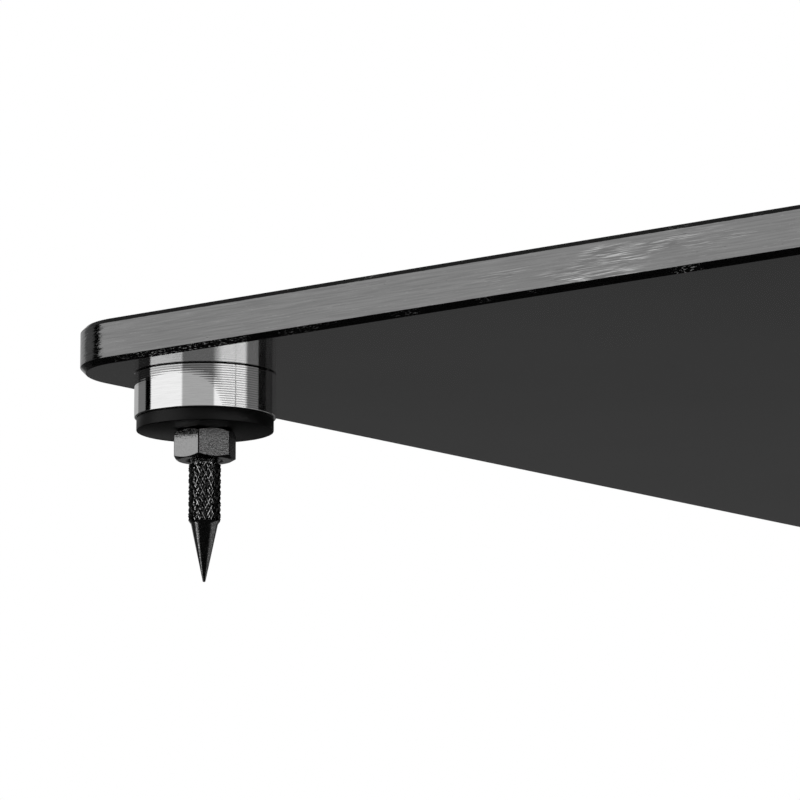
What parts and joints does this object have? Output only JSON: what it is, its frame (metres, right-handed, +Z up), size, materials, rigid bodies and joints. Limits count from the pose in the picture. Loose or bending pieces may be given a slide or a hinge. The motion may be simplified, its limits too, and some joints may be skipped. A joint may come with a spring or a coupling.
{
  "type": "speaker stand",
  "caption": "Speaker stand: black glass base on adjustable spike feet, round column with a cable channel, and a flat top plate with rubber pads.",
  "frame": {"origin": "on the floor under the middle of the base, at the height of the spike tips", "axes": "+Z up along the column, -Y the front, +Y the cable channel, +X to the right"},
  "size_m": [0.25, 0.3, 0.6],
  "materials": {
    "black_glass": "toughened black glass, polished, ground edges",
    "polished_boss": "fine-turned and plated",
    "foot_washer": "black moulded plastic",
    "black_nut": "black zinc plated steel",
    "black_spike": "glossy black plated steel",
    "black_rubber": "moulded rubber",
    "nylon": "natural nylon",
    "black_powder": "fine-textured powder coat on steel",
    "black_anodised": "black anodised tube",
    "cover_plastic": "extruded black plastic",
    "rod_steel": "bright drawn steel",
    "black_screw": "black oxide steel"
  },
  "bodies": {
    "stand": {"base_glass": "black_glass", "foot_boss_front_left": "polished_boss", "foot_boss_front_right": "polished_boss", "foot_boss_rear_left": "polished_boss", "foot_boss_rear_right": "polished_boss", "foot_washer_front_left": "foot_washer", "foot_washer_front_right": "foot_washer", "foot_washer_rear_left": "foot_washer", "foot_washer_rear_right": "foot_washer", "clamp_plate": "black_powder", "clamp_gasket": "black_rubber", "hole_sleeves": "nylon", "base_gasket": "black_rubber", "base_screws": "black_screw", "lower_flange": "black_powder", "column_tube": "black_anodised", "tie_rods": "rod_steel", "cable_cover": "cover_plastic", "lower_grommet": "black_rubber", "upper_grommet": "black_rubber", "upper_flange": "black_powder", "top_plate": "black_powder", "top_screws": "black_screw", "top_pad_front_left": "black_rubber", "top_pad_front_right": "black_rubber", "top_pad_rear_left": "black_rubber", "top_pad_rear_right": "black_rubber"},
    "nut_front_left": {"lock_nut_front_left": "black_nut"},
    "spike_front_left": {"spike_front_left": "black_spike"},
    "nut_front_right": {"lock_nut_front_right": "black_nut"},
    "spike_front_right": {"spike_front_right": "black_spike"},
    "nut_rear_left": {"lock_nut_rear_left": "black_nut"},
    "spike_rear_left": {"spike_rear_left": "black_spike"},
    "nut_rear_right": {"lock_nut_rear_right": "black_nut"},
    "spike_rear_right": {"spike_rear_right": "black_spike"}
  },
  "joints": [
    {"name": "front_left_foot_turn", "type": "hinge", "parent": "stand", "child": "nut_front_left", "pos_m": [-0.105, -0.13, 0.0241], "axis": [0, 0, -1], "range_deg": [0, 1440]},
    {"name": "front_left_foot_height", "type": "slide", "parent": "nut_front_left", "child": "spike_front_left", "axis": [0, 0, -1], "range_m": [0, 0.004]},
    {"name": "front_right_foot_turn", "type": "hinge", "parent": "stand", "child": "nut_front_right", "pos_m": [0.105, -0.13, 0.0241], "axis": [0, 0, -1], "range_deg": [0, 1440]},
    {"name": "front_right_foot_height", "type": "slide", "parent": "nut_front_right", "child": "spike_front_right", "axis": [0, 0, -1], "range_m": [0, 0.004]},
    {"name": "rear_left_foot_turn", "type": "hinge", "parent": "stand", "child": "nut_rear_left", "pos_m": [-0.105, 0.13, 0.0241], "axis": [0, 0, -1], "range_deg": [0, 1440]},
    {"name": "rear_left_foot_height", "type": "slide", "parent": "nut_rear_left", "child": "spike_rear_left", "axis": [0, 0, -1], "range_m": [0, 0.004]},
    {"name": "rear_right_foot_turn", "type": "hinge", "parent": "stand", "child": "nut_rear_right", "pos_m": [0.105, 0.13, 0.0241], "axis": [0, 0, -1], "range_deg": [0, 1440]},
    {"name": "rear_right_foot_height", "type": "slide", "parent": "nut_rear_right", "child": "spike_rear_right", "axis": [0, 0, -1], "range_m": [0, 0.004]}
  ],
  "couplings": [
    {"joint": "front_left_foot_turn", "follows": "front_left_foot_height", "rad_per_m": 6283.2},
    {"joint": "front_right_foot_turn", "follows": "front_right_foot_height", "rad_per_m": 6283.2},
    {"joint": "rear_left_foot_turn", "follows": "rear_left_foot_height", "rad_per_m": 6283.2},
    {"joint": "rear_right_foot_turn", "follows": "rear_right_foot_height", "rad_per_m": 6283.2}
  ]
}
